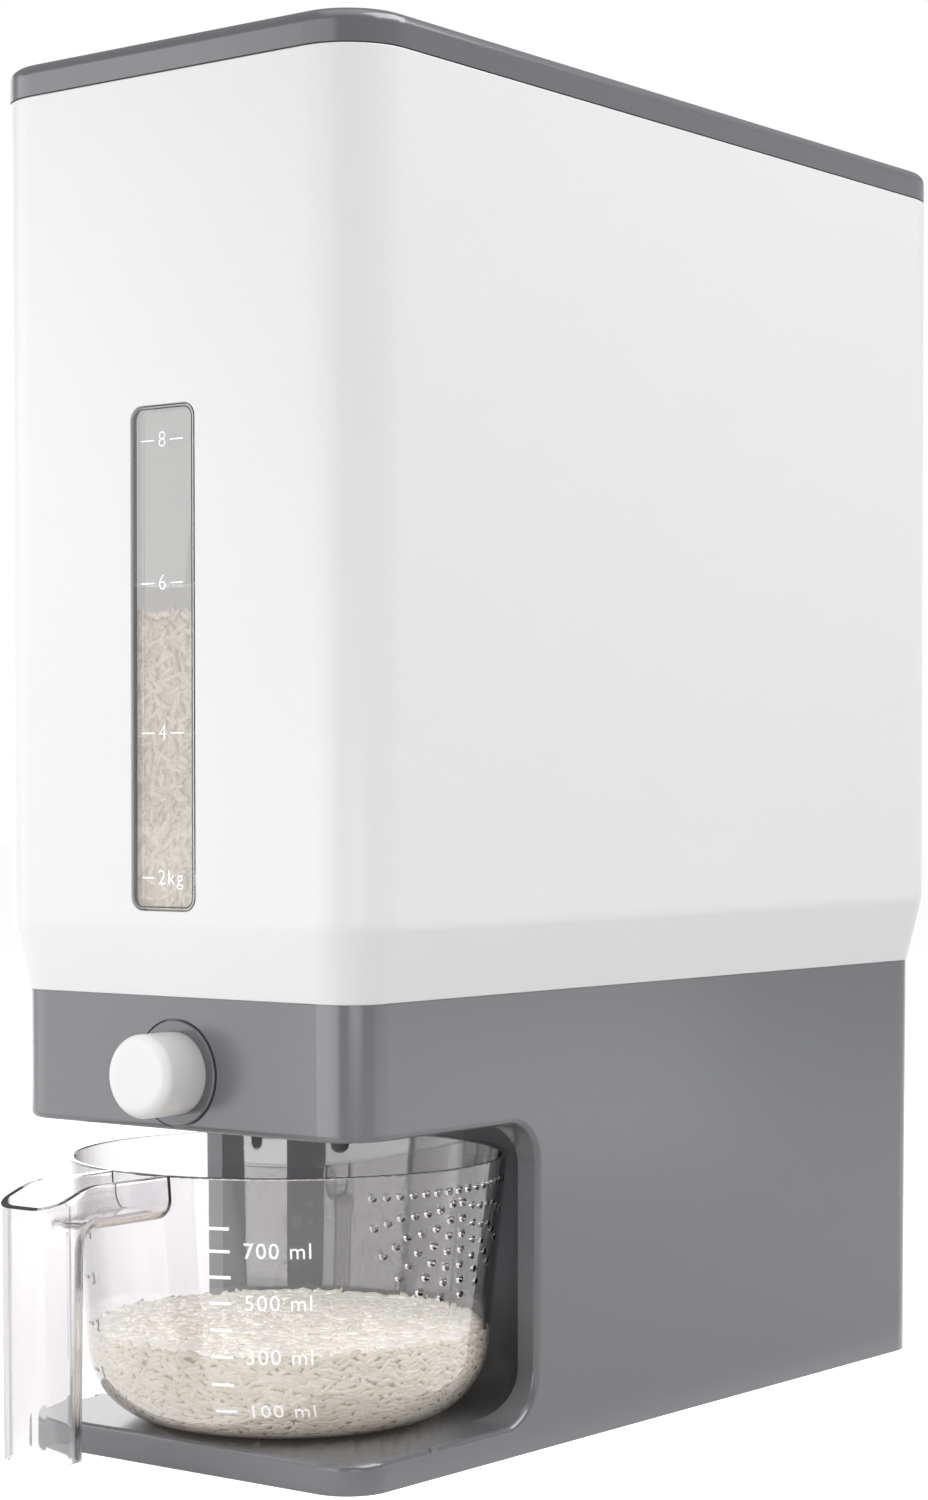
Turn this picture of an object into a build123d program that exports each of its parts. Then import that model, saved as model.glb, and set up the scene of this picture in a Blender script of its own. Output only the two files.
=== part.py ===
from build123d import *
import math
import os

# Rice dispenser: a hopper on a stand, a push button that slides a gate, and a measuring cup below.
# Millimetres. X is the width, Y the depth with the front at -Y, Z is up from the underside.

# Hopper and lid, outside
body_width = 160.0
body_depth = 352.0
body_corner = 22.0
hopper_height = 264.5
shoulder_height = 23.5
wall_lean = 1.35
shoulder_step = 5.8
hopper_wall = 2.2
lid_rise = 11.0
lid_edge = 4.0
lid_wall = 2.2
lid_seam = 0.3

# Plug and seal under the lid
plug_depth = 12.0
plug_gap = 1.2
plug_wall = 1.8
lid_seal_height = 3.0
lid_seal_drop = 5.0
lid_seal_seat = 0.8
lid_seal_gap = 0.3

# Level window
window_width = 27.0
window_height = 157.5
window_sill = 3.5
window_corner = 4.5
window_gap = 0.2
window_bevel = 0.8
window_flange = 3.0
window_flange_thickness = 1.5
window_gasket = 0.8

# Stand, tray and recess
base_corner = 15.5
base_lean = 1.3
base_wall = 2.5
tray_height = 9.5
lip_round = 2.0
recess_roof_radius = 14.0
recess_foot_radius = 16.0
recess_land = 38.5
block_headroom = 0.6

# Measuring cup
cup_height = 84.3
cup_side_gap = 1.6
cup_setback = 61.0
cup_seat_gap = 0.2
cup_headroom = 11.5
cup_wall = 2.0
cup_draft_angle = 5.8
cup_foot_radius = 25.0
cup_rim_round = 0.8
pocket_gap = 3.5

# Hollow handle of the cup
handle_width = 25.5
handle_wall = 1.8
handle_gap = 32.0
handle_depth = 18.0
handle_foot_depth = 16.0
handle_foot_lean = 2.5
handle_foot_rise = 3.5
handle_dip = 6.0
handle_dip_start = 1.0
handle_dip_bend = 25.0
handle_trough = 14.0
handle_bend = 5.0
handle_outer_round = 8.6
handle_inner_round = 7.2
handle_foot_flat = 0.2

# Drain holes in the cup's side
drain_hole_radius = 1.2
drain_ring_pitch = 4.8
drain_ring_count = 7
drain_spoke_limit_count = 11
drain_drop = 6.8

# Push button, bush and rod
cap_radius = 13.0
cap_proud = 18.4
cap_engagement = 6.5
cap_wall = 1.8
cap_front_wall = 2.5
cap_edge = 3.6
cap_boss_wall = 2.2
cap_boss_length = 12.0
button_travel = 16.0
bush_running_gap = 0.15
bush_wall = 1.65
bush_web = 3.0
bush_stop_gap = 0.5
bush_roof_gap = 0.6
bush_hole_gap = 0.1
bezel_width = 1.7
bezel_thickness = 1.7
bezel_seat = 1.0
bezel_groove = 0.6
bezel_edge = 0.5
rod_radius = 3.0
rod_fit_gap = 0.06
rod_neck_radius = 2.0
rod_neck_gap = 0.1
clip_thickness = 1.5
clip_groove = 0.9
clip_gap = 0.1
clip_wall_gap = 0.2
clip_arm = 3.2
clip_tail = 11.0

# Return spring
spring_radius = 8.0
spring_wire_radius = 0.6
spring_turn_count = 7
spring_end_gap = 0.05

# Gate, guide and outlet
gate_half_width = 36.0
gate_thickness = 2.5
gate_gap = 0.15
gate_side_gap = 0.3
gate_land = 2.0
gate_overlap = 6.0
gate_corner = 4.0
tab_thickness = 3.0
tab_half_width = 9.0
tab_rise = 5.0
tab_corner = 4.0
bed_thickness = 2.0
bed_front_gap = 2.0
bed_tail = 4.0
rail_width = 3.7
rail_lip = 3.0
rail_lip_thickness = 2.0
spout_margin = 2.0
spout_wall = 2.0
spout_drop = 4.0
spout_corner = 4.0
spout_hole_gap = 0.4
finger_radius = 3.0
finger_across = 23.4
finger_sink = 1.5
finger_clearance = 1.5
ear_reach = 10.0
ear_width = 10.0
ear_thickness = 2.0
ear_inset = 9.0

# Funnel floor and its seals
ledge_width = 13.0
ledge_thickness = 3.0
spigot_depth = 5.0
spigot_wall = 2.0
spigot_gap = 0.3
floor_gasket = 1.0
floor_rim_thickness = 2.0
floor_rim_gap = 0.5
floor_wall = 2.2
funnel_corner = 10.0
throat_half_width = 25.0
throat_corner = 3.0
throat_well = 14.0
throat_flange = 6.5
throat_flange_thickness = 2.6
throat_clearance = 2.5
throat_seal_width = 3.0
throat_seal_margin = 0.8
throat_seal_thickness = 1.2
throat_seal_groove = 0.6
throat_seal_gap = 0.15

# Underside cover, pads and screws
cover_thickness = 3.0
cover_gap = 0.3
pad_radius = 9.0
pad_thickness = 1.6
pad_gap = 0.2
pad_side_inset = 20.0
pad_end_inset = 22.0
boss_radius = 4.0
boss_gap = 0.5
boss_web = 3.0
boss_length = 30.0
cover_boss_length = 18.0
cover_screw_side_inset = 9.0
cover_screw_end_inset = 38.0
hopper_screw_end_inset = 26.0
screw_radius = 1.4
screw_fit_gap = 0.1
screw_head_radius = 2.8
screw_head_height = 1.8
screw_head_gap = 0.2
screw_sink = 0.3
cover_screw_length = 5.0
hopper_screw_length = 14.0
guide_screw_length = 5.0
rod_screw_radius = 1.2
rod_screw_head_radius = 3.5
rod_screw_head_height = 2.4
rod_screw_length = 10.0

overrun = 5.0
touch = 0.01

# Levels, from the underside up
cup_level = tray_height + cup_seat_gap
cup_rim_level = cup_level + cup_height
recess_top = cup_rim_level + cup_headroom
ceiling_top = recess_top + base_wall
bush_bore = cap_radius + bush_running_gap
bush_radius = bush_bore + bush_wall
button_level = ceiling_top + bush_roof_gap + bush_radius
base_level = button_level + bush_radius + clip_arm + block_headroom + spigot_depth
shoulder_level = base_level + shoulder_height
lid_line = shoulder_level + hopper_height
bed_top = ceiling_top + bed_thickness
gate_bottom = bed_top + gate_gap
gate_top = gate_bottom + gate_thickness
throat_seal_bottom = gate_top + throat_seal_gap
throat_bottom = throat_seal_bottom + throat_seal_thickness - throat_seal_groove
throat_top = throat_bottom + throat_well
ledge_top = base_level + ledge_thickness
floor_rim_bottom = ledge_top + floor_gasket
floor_rim_top = floor_rim_bottom + floor_rim_thickness
ear_bottom = gate_top + gate_gap + rail_lip_thickness - ear_thickness

# Insets of the outer skin from the lid line's outline
base_top_inset = wall_lean + shoulder_step
base_foot_inset = base_top_inset + base_lean
ledge_inset = base_top_inset + hopper_wall + ledge_width
shoulder_corner = body_corner - wall_lean
foot_corner = base_corner - base_lean
base_half_width = body_width / 2 - base_top_inset
base_half_depth = body_depth / 2 - base_top_inset
foot_half_width = body_width / 2 - base_foot_inset
foot_half_depth = body_depth / 2 - base_foot_inset

# Places along the depth, from the front back
button_front = -(base_half_depth - base_lean * (base_level - button_level) / base_level)
cap_face = button_front - cap_proud
cap_rear = button_front + cap_engagement
web_front = cap_rear + button_travel + bush_stop_gap
web_rear = web_front + bush_web
tab_front = web_rear + bush_stop_gap
tab_rear = tab_front + tab_thickness
throat_length = button_travel - gate_land
throat_front = tab_rear + rod_screw_head_height + button_travel + throat_clearance + throat_flange
throat_y = throat_front + throat_length / 2
gate_rear = throat_y + throat_length / 2 + gate_overlap
bed_front = tab_front + bed_front_gap
bed_rear = gate_rear + button_travel + bed_tail
cup_y = -body_depth / 2 + cup_setback
recess_back = cup_y + recess_land
cup_rim_radius = base_half_width - cup_side_gap
pocket_radius = cup_rim_radius + pocket_gap

# Places of the screws
hopper_screw_x = base_half_width - base_wall - spigot_gap - spigot_wall - boss_gap - boss_radius
hopper_screw_y = base_half_depth - hopper_screw_end_inset
cover_screw_x = foot_half_width - cover_screw_side_inset
cover_screw_y = foot_half_depth - cover_screw_end_inset
rail_outside = gate_half_width + gate_side_gap + rail_width
ear_x = rail_outside + ear_reach / 2
ear_places = [
    (side * ear_x, y) for side in (-1, 1) for y in (bed_front + ear_inset, bed_rear - ear_inset)
]
hopper_screw_places = [
    (sx * hopper_screw_x, sy * hopper_screw_y) for sx in (-1, 1) for sy in (-1, 1)
]
cover_screw_places = [
    (sx * cover_screw_x, sy * cover_screw_y) for sx in (-1, 1) for sy in (-1, 0, 1)
]
pad_places = [
    (sx * (foot_half_width - pad_side_inset), sy * (foot_half_depth - pad_end_inset))
    for sx in (-1, 1)
    for sy in (-1, 1)
]
standing = (Align.CENTER, Align.CENTER, Align.MIN)


def outline(inset, corner, level):
    """Rounded rectangle of the body, set in from the outline at the lid line."""
    size = (body_width - 2 * inset, body_depth - 2 * inset)
    return Pos(0, 0, level) * RectangleRounded(*size, corner)


def prism(inset, corner, bottom, top):
    """Upright block with the body's outline, set in."""
    return extrude(outline(inset, corner, bottom), amount=top - bottom)


def hopper_form(inset):
    """The hopper's outside, or its inside when set in by the wall."""
    sections = [
        outline(base_top_inset + inset, base_corner - inset, base_level),
        outline(wall_lean + inset, shoulder_corner - inset, shoulder_level),
        outline(inset, body_corner - inset, lid_line),
    ]
    return loft(sections, ruled=True)


def hopper_inset(level):
    """How far the hopper's outside stands in from the lid line's outline at a level."""
    if level >= shoulder_level:
        return wall_lean * (lid_line - level) / hopper_height
    return wall_lean + shoulder_step * (shoulder_level - level) / shoulder_height


def base_form(inset):
    """The stand's outside, or its inside when set in by the wall."""
    sections = [
        outline(base_foot_inset + inset, foot_corner - inset, 0),
        outline(base_top_inset + inset, base_corner - inset, base_level),
    ]
    return loft(sections, ruled=True)


def recess_form(grow):
    """Space for the cup: a slot open at the front and both sides, with a round pocket behind."""
    front = -body_depth / 2 - overrun
    back = recess_back + grow
    height = recess_top - tray_height + 2 * grow
    middle = (recess_top + tray_height) / 2
    side = Pos((front + back) / 2, middle) * Rectangle(back - front, height)
    foot = side.vertices().group_by(Axis.X)[-1].sort_by(Axis.Y)[0]
    side = fillet(foot, recess_foot_radius + grow)
    roof = side.vertices().sort_by(Axis.Y)[-2:].sort_by(Axis.X)[-1]
    side = fillet(roof, recess_roof_radius + grow)
    slot = extrude(Plane.YZ * side, amount=body_width, both=True)
    pocket = Cylinder(pocket_radius + grow, height)
    pocket = fillet(pocket.edges().sort_by(Axis.Z)[-1], recess_roof_radius + grow)
    pocket = fillet(pocket.faces().sort_by(Axis.Z)[0].edges(), recess_foot_radius + grow)
    return slot + Pos(0, cup_y, middle) * pocket


def bar_y(radius, start, end, across=0, level=button_level):
    """Round bar along the depth."""
    return Pos(across, (start + end) / 2, level) * Rot(90, 0, 0) * Cylinder(radius, end - start)


def slab(half_width, front, rear, bottom, top):
    """Block centred on the width."""
    place = Pos(0, (front + rear) / 2, (bottom + top) / 2)
    return place * Box(2 * half_width, rear - front, top - bottom)


def post(place, radius, bottom, top):
    """Upright round post at a place in plan."""
    return Pos(*place, bottom) * Cylinder(radius, top - bottom, align=standing)


def slot_outline(margin, corner, level):
    """Rounded slot of the throat, grown by a margin."""
    size = (2 * (throat_half_width + margin), throat_length + 2 * margin)
    return Pos(0, throat_y, level) * RectangleRounded(*size, corner)


def wall_boss(place, bottom, top, web_top):
    """Screw boss with a web to the nearest side wall."""
    x, y = place
    wall_x = math.copysign(base_half_width, x)
    web = Pos((x + wall_x) / 2, y, (bottom + web_top) / 2) * Box(
        abs(wall_x - x), boss_web, web_top - bottom
    )
    return post(place, boss_radius, bottom, top) + web


def flat_screw(place, face, length, up):
    """Countersunk screw; face is the level of its head, up is the way its point looks."""
    cone = Cone(screw_head_radius, screw_radius, screw_head_height, align=standing)
    shank = Cylinder(screw_radius, screw_head_height + length, align=standing)
    drive = Cylinder(screw_radius, screw_head_height / 2, align=standing)
    screw = cone + shank - drive
    turn = Rot(0, 0, 0) if up else Rot(180, 0, 0)
    return Pos(*place, face) * turn * screw


def flat_screw_hole(place, face, up):
    """Countersink and hole for a flat screw through a plate."""
    head = screw_head_radius + screw_head_gap
    hole = screw_radius + screw_fit_gap
    cone = Cone(head, hole, screw_head_height + screw_head_gap, align=standing)
    mouth = Pos(0, 0, -overrun) * Cylinder(head, overrun, align=standing)
    through = Cylinder(hole, screw_head_height + overrun, align=standing)
    turn = Rot(0, 0, 0) if up else Rot(180, 0, 0)
    return Pos(*place, face) * turn * (cone + mouth + through)


# Stand


def lip_edges(shell):
    """Edges where the recess breaks through the stand's outer skin."""
    skin = [face for face in base_form(0).faces() if abs(face.normal_at().Z) < 0.5]
    lip = []
    for edge in shell.edges():
        middle = edge @ 0.5
        in_recess = tray_height - touch < middle.Z < recess_top + touch
        if in_recess and min(face.distance_to(middle) for face in skin) < touch:
            lip.append(edge)
    return lip


def base_housing():
    """Moulded stand with the recess, the tray, the front block and the screw bosses."""
    shell = base_form(0) - recess_form(0)
    shell = fillet(lip_edges(shell), lip_round)
    shell -= base_form(base_wall) - recess_form(base_wall)
    bosses = []
    for place in hopper_screw_places:
        web_top = base_level - spigot_depth - spigot_gap
        bosses.append(wall_boss(place, base_level - boss_length, base_level, web_top))
    for place in cover_screw_places:
        top = cover_thickness + cover_boss_length
        bosses.append(wall_boss(place, cover_thickness, top, top))
    for place in ear_places:
        bosses.append(post(place, boss_radius, ceiling_top - recess_roof_radius, ear_bottom))
    boss_group = bosses[0] + bosses[1:]
    shell += (boss_group & base_form(touch)) - recess_form(0)
    hole = screw_radius + screw_fit_gap
    for place in hopper_screw_places:
        shell -= post(place, hole, base_level - hopper_screw_length, base_level)
    for place in cover_screw_places:
        shell -= post(place, hole, cover_thickness, cover_thickness + cover_screw_length)
    for place in ear_places:
        shell -= post(place, hole, ear_bottom - guide_screw_length, ear_bottom)
    spout = slot_outline(spout_margin + spout_wall + spout_hole_gap, spout_corner, recess_top - overrun)
    shell -= extrude(spout, amount=base_wall + overrun + touch)
    shell -= post(finger_place(), finger_radius + spout_hole_gap, recess_top - overrun, ceiling_top)
    seat = button_front + bezel_seat
    shell -= bar_y(bush_radius + bush_hole_gap, button_front - overrun, button_front + base_wall + overrun)
    shell -= bar_y(bush_radius + bezel_width + bezel_groove, button_front - overrun, seat)
    return shell


def bottom_cover():
    """Plate that closes the underside, flush with the stand's lower edge."""
    inset = base_foot_inset + base_wall + cover_gap
    plate = prism(inset, foot_corner - base_wall - cover_gap, 0, cover_thickness)
    for place in pad_places:
        plate -= post(place, pad_radius + pad_gap, 0, pad_thickness)
    for place in cover_screw_places:
        plate -= flat_screw_hole(place, screw_sink, True)
    return plate


def cover_screws():
    """Flat screws that hold the cover."""
    length = cover_thickness - screw_sink - screw_head_height + cover_screw_length - screw_sink
    return Compound([flat_screw(place, screw_sink, length, True) for place in cover_screw_places])


def foot_pads():
    """Rubber pads, flush with the underside under load."""
    return Compound([post(place, pad_radius, 0, pad_thickness) for place in pad_places])


# Hopper


def window_plane():
    """Plane of the leaning front wall at the middle of the window, looking out."""
    level = shoulder_level + window_sill + window_height / 2
    lean = math.atan2(wall_lean, hopper_height)
    face = -(body_depth / 2 - hopper_inset(level))
    return Plane(
        origin=(0, face, level), x_dir=(1, 0, 0), z_dir=(0, -math.cos(lean), -math.sin(lean))
    )


def window_plate(grow, outer, inner):
    """Rounded plate of the window, grown all round, between two depths behind the face."""
    size = (window_width + 2 * grow, window_height + 2 * grow)
    face = RectangleRounded(*size, window_corner + grow)
    return extrude(window_plane() * Pos(0, 0, -inner) * face, amount=inner - outer)


def hopper_body():
    """Tapered tub with a shoulder, an inner ledge and a spigot that drops into the stand."""
    ledge = prism(0, body_corner, base_level - overrun, ledge_top)
    ledge -= prism(ledge_inset, funnel_corner, base_level - overrun, ledge_top)
    tub = hopper_form(0) - (hopper_form(hopper_wall) - ledge)
    spigot_inset = base_top_inset + base_wall + spigot_gap
    spigot_corner = base_corner - base_wall - spigot_gap
    spigot = prism(spigot_inset, spigot_corner, base_level - spigot_depth, base_level + touch)
    spigot -= prism(
        spigot_inset + spigot_wall,
        spigot_corner - spigot_wall,
        base_level - spigot_depth,
        base_level + touch,
    )
    tub += spigot
    tub -= window_plate(0, -overrun, hopper_wall + overrun)
    for place in hopper_screw_places:
        tub -= flat_screw_hole(place, ledge_top - screw_sink, False)
    return tub


def window_pane():
    """Clear pane, flush outside, with a flange inside the wall."""
    depth = hopper_wall + window_gasket
    pane = window_plate(-window_gap, 0, depth + window_flange_thickness)
    front = pane.faces().sort_by(Axis.Y)[0]
    pane = chamfer(front.edges(), window_bevel)
    return pane + window_plate(window_flange, depth, depth + window_flange_thickness)


def window_seal():
    """Gasket between the wall and the pane's flange."""
    ring = window_plate(window_flange, hopper_wall, hopper_wall + window_gasket)
    return ring - window_plate(0, 0, hopper_wall + window_gasket)


def hopper_screws():
    """Flat screws through the ledge into the stand."""
    length = hopper_screw_length + ledge_thickness - screw_head_height - 2 * screw_sink
    face = ledge_top - screw_sink
    return Compound([flat_screw(place, face, length, False) for place in hopper_screw_places])


# Funnel floor


def floor_rim_inset():
    """Inset of the funnel's rim inside the hopper's lower end."""
    return hopper_inset(ledge_top) + hopper_wall + floor_rim_gap


def funnel_form(grow, top, bottom):
    """Sloping space from the rim down to the throat, grown by the wall."""
    inset = ledge_inset + floor_rim_gap + floor_wall - grow
    mouth = outline(inset, funnel_corner + grow, top)
    return loft([slot_outline(grow, throat_corner + grow, bottom), mouth], ruled=True)


def hopper_floor():
    """Funnel with a rim on the ledge and a throat above the gate."""
    rim = floor_rim_inset()
    floor = prism(rim, base_corner - hopper_wall, floor_rim_bottom, floor_rim_top)
    floor += funnel_form(floor_wall, floor_rim_bottom, throat_top - floor_wall)
    throat = slot_outline(floor_wall, throat_corner + floor_wall, throat_bottom)
    floor += extrude(throat, amount=throat_well)
    flange = slot_outline(throat_flange, throat_corner + throat_flange, throat_bottom)
    floor += extrude(flange, amount=throat_flange_thickness)
    floor -= funnel_form(0, floor_rim_top, throat_top)
    throat_hole = slot_outline(0, throat_corner, throat_bottom)
    floor -= extrude(throat_hole, amount=throat_well + touch)
    return floor - throat_ring(throat_bottom, throat_bottom + throat_seal_groove, throat_seal_margin / 2)


def throat_ring(bottom, top, slack):
    """Ring round the throat's lower end."""
    outer = throat_seal_margin + throat_seal_width + slack
    inner = throat_seal_margin - slack
    ring = extrude(slot_outline(outer, throat_corner + outer, bottom), amount=top - bottom)
    return ring - extrude(slot_outline(inner, throat_corner + inner, bottom), amount=top - bottom)


def throat_seal():
    """Silicone ring in the throat's groove, just clear of the gate."""
    return throat_ring(throat_seal_bottom, throat_seal_bottom + throat_seal_thickness, 0)


def floor_seal():
    """Flat gasket between the ledge and the funnel's rim."""
    corner = base_corner - hopper_wall
    ring = prism(floor_rim_inset(), corner, ledge_top, floor_rim_bottom)
    return ring - prism(ledge_inset, funnel_corner, ledge_top, floor_rim_bottom)


# Gate and outlet


def finger_place():
    """Round-ended finger on the spout's front wall."""
    front = throat_front - spout_margin - spout_wall
    return (finger_across, front - finger_radius + finger_sink)


def gate_guide():
    """Slide bed with side rails, screw ears and the outlet spout."""
    bed = slab(rail_outside, bed_front, bed_rear, ceiling_top, bed_top)
    gate_side = gate_half_width + gate_side_gap
    lip_bottom = gate_top + gate_gap
    lip_top = lip_bottom + rail_lip_thickness
    rails = slab(rail_outside, bed_front, bed_rear, bed_top, lip_top)
    rails -= slab(gate_side, bed_front, bed_rear, bed_top, lip_bottom)
    rails -= slab(gate_half_width - rail_lip, bed_front, bed_rear, lip_bottom, lip_top)
    guide = bed + rails
    for x, y in ear_places:
        side = math.copysign(rail_outside - rail_width / 2, x)
        outer = math.copysign(rail_outside + ear_reach, x)
        middle = Pos((side + outer) / 2, y, ear_bottom + ear_thickness / 2)
        guide += middle * Box(abs(outer - side), ear_width, ear_thickness)
    bottom = recess_top - spout_drop
    outer = slot_outline(spout_margin + spout_wall, spout_corner, bottom)
    guide += extrude(outer, amount=bed_top - bottom)
    tip = cup_rim_level + finger_clearance
    guide += post(finger_place(), finger_radius, tip + finger_radius, bed_top)
    guide += Pos(*finger_place(), tip + finger_radius) * Sphere(finger_radius)
    inner = slot_outline(spout_margin, spout_corner - spout_wall, bottom)
    guide -= extrude(inner, amount=bed_top - bottom)
    for place in ear_places:
        guide -= post(place, screw_radius + screw_fit_gap, ear_bottom, ear_bottom + ear_thickness)
    return guide


def guide_screws():
    """Pan screws through the guide's ears."""
    top = ear_bottom + ear_thickness
    screws = []
    for place in ear_places:
        head = post(place, screw_head_radius, top, top + screw_head_height)
        head = fillet(head.faces().sort_by(Axis.Z)[-1].edges(), screw_head_height / 3)
        bottom = ear_bottom - guide_screw_length + screw_sink
        screws.append(head + post(place, screw_radius, bottom, top))
    return Compound(screws)


def gate_plate():
    """Sliding gate with its outlet hole and an upright tab for the rod."""
    plate = slab(gate_half_width, tab_front, gate_rear, gate_bottom, gate_top)
    plate = fillet(plate.edges().filter_by(Axis.Z), gate_corner)
    tab_top = button_level + tab_rise
    tab = slab(tab_half_width, tab_front, tab_rear, gate_bottom, tab_top)
    crown = tab.edges().filter_by(Axis.Y).group_by(Axis.Z)[-1]
    plate += fillet(crown, tab_corner)
    hole = extrude(slot_outline(0, throat_corner, gate_bottom), amount=gate_thickness)
    plate -= Pos(0, -button_travel, 0) * hole
    return plate - bar_y(rod_neck_radius + rod_neck_gap, tab_front, tab_rear)


# Push button


def button_cap():
    """Hollow push button with a socket for the rod."""
    length = cap_rear - cap_face
    cap = Cylinder(cap_radius, length, align=standing)
    cap = fillet(cap.faces().sort_by(Axis.Z)[-1].edges(), cap_edge)
    inside = length - cap_front_wall
    cap -= Cylinder(cap_radius - cap_wall, inside, align=standing)
    boss = Cylinder(rod_radius + cap_boss_wall, cap_boss_length, align=standing)
    boss -= Cylinder(rod_radius + rod_fit_gap, cap_boss_length, align=standing)
    cap += Pos(0, 0, inside - cap_boss_length) * boss
    return Pos(0, cap_rear, button_level) * Rot(90, 0, 0) * cap


def button_bush():
    """Bezel ring and barrel in the front wall, with a web that guides the rod and seats the spring."""
    seat = button_front + bezel_seat
    flange = bar_y(bush_radius + bezel_width, seat - bezel_thickness, seat)
    flange = fillet(flange.faces().sort_by(Axis.Y)[0].edges(), bezel_edge)
    bush = flange + bar_y(bush_radius, seat - bezel_thickness, web_rear)
    bush -= bar_y(bush_bore, seat - bezel_thickness, web_front)
    bush -= bar_y(rod_radius + rod_fit_gap, web_front, web_rear)
    groove_front = button_front + base_wall + clip_wall_gap
    groove = bar_y(bush_radius + overrun, groove_front, groove_front + clip_thickness + clip_gap)
    groove -= bar_y(bush_radius - clip_groove, groove_front, groove_front + clip_thickness + clip_gap)
    return bush - groove


def bush_clip():
    """U-shaped clip in the bush's groove, behind the front wall."""
    front = button_front + base_wall + clip_wall_gap
    rear = front + clip_thickness
    reach = bush_radius + clip_arm
    plate = slab(reach, front, rear, button_level - clip_tail, button_level + reach)
    plate = fillet(plate.edges().filter_by(Axis.Y).group_by(Axis.Z)[-1], bush_radius)
    bore = bush_radius - clip_groove + clip_gap
    plate -= bar_y(bore, front, rear)
    return plate - slab(bore, front, rear, button_level - clip_tail, button_level)


def push_rod():
    """Rod from the button's socket to the gate's tab, necked at the tab."""
    rod = bar_y(rod_radius, cap_face + cap_front_wall, tab_front)
    rod += bar_y(rod_neck_radius, tab_front, tab_rear)
    return rod - bar_y(rod_screw_radius + rod_fit_gap, tab_rear - rod_screw_length, tab_rear)


def rod_screw():
    """Screw that clamps the tab to the rod."""
    head = bar_y(rod_screw_head_radius, tab_rear, tab_rear + rod_screw_head_height)
    head = fillet(head.faces().sort_by(Axis.Y)[-1].edges(), rod_screw_head_height / 3)
    return head + bar_y(rod_screw_radius, tab_rear - rod_screw_length + screw_sink, tab_rear)


def return_spring():
    """Coil from the inside of the button to the bush's web."""
    start = cap_face + cap_front_wall + spring_wire_radius + spring_end_gap
    end = web_front - spring_wire_radius - spring_end_gap
    pitch = (end - start) / spring_turn_count
    path = Helix(pitch, end - start, spring_radius)
    wire = Plane(origin=path @ 0, z_dir=path % 0) * Circle(spring_wire_radius)
    coil = sweep(wire, path=path, is_frenet=True)
    print("least gap between the spring's turns", round(pitch - 2 * spring_wire_radius, 2))
    return Pos(0, end, button_level) * Rot(90, 0, 0) * coil


# Lid


def lid():
    """Cap with a rounded top edge, flush with the hopper's sides."""
    bottom = lid_line + lid_seam
    top = lid_line + lid_rise
    cap = prism(0, body_corner, bottom, top)
    cap = fillet(cap.faces().sort_by(Axis.Z)[-1].edges(), lid_edge)
    return cap - prism(lid_wall, body_corner - lid_wall, bottom, top - lid_wall)


def plug_inset():
    """Inset of the plug's outside from the lid line's outline."""
    return hopper_wall + hopper_inset(lid_line - plug_depth) + plug_gap


def lid_liner():
    """Plug under the lid, with a groove for the seal."""
    inset = plug_inset()
    bottom = lid_line - plug_depth
    top = lid_line + lid_rise - lid_wall
    plug = prism(inset, body_corner - inset, bottom, top)
    plug -= prism(inset + plug_wall, body_corner - inset - plug_wall, bottom, top - plug_wall)
    return plug - lid_seal_ring(inset + lid_seal_seat, 0)


def lid_seal_ring(inner_inset, outer_inset):
    """Ring round the plug at the seal's level."""
    top = lid_line - lid_seal_drop
    bottom = top - lid_seal_height
    ring = prism(outer_inset, body_corner - outer_inset, bottom, top)
    return ring - prism(inner_inset, body_corner - inner_inset, bottom, top)


def lid_seal():
    """Silicone ring between the plug and the hopper's wall."""
    outer = hopper_wall + hopper_inset(lid_line - plug_depth) + lid_seal_gap
    return lid_seal_ring(plug_inset() + lid_seal_seat, outer)


# Measuring cup, drawn about its own axis with its underside at zero


def bowl_form(inset):
    """Turned bowl, or its inside when set in by the wall."""
    corner = cup_rim_radius - cup_height * math.tan(math.radians(cup_draft_angle))
    side = FilletPolyline(
        (0, inset),
        (corner - inset, inset),
        (cup_rim_radius - inset, cup_height),
        radius=cup_foot_radius - inset,
    )
    closing = Polyline((cup_rim_radius - inset, cup_height), (0, cup_height), (0, inset))
    return revolve(make_face(Plane.XZ * (side + closing)), axis=Axis.Z)


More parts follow.
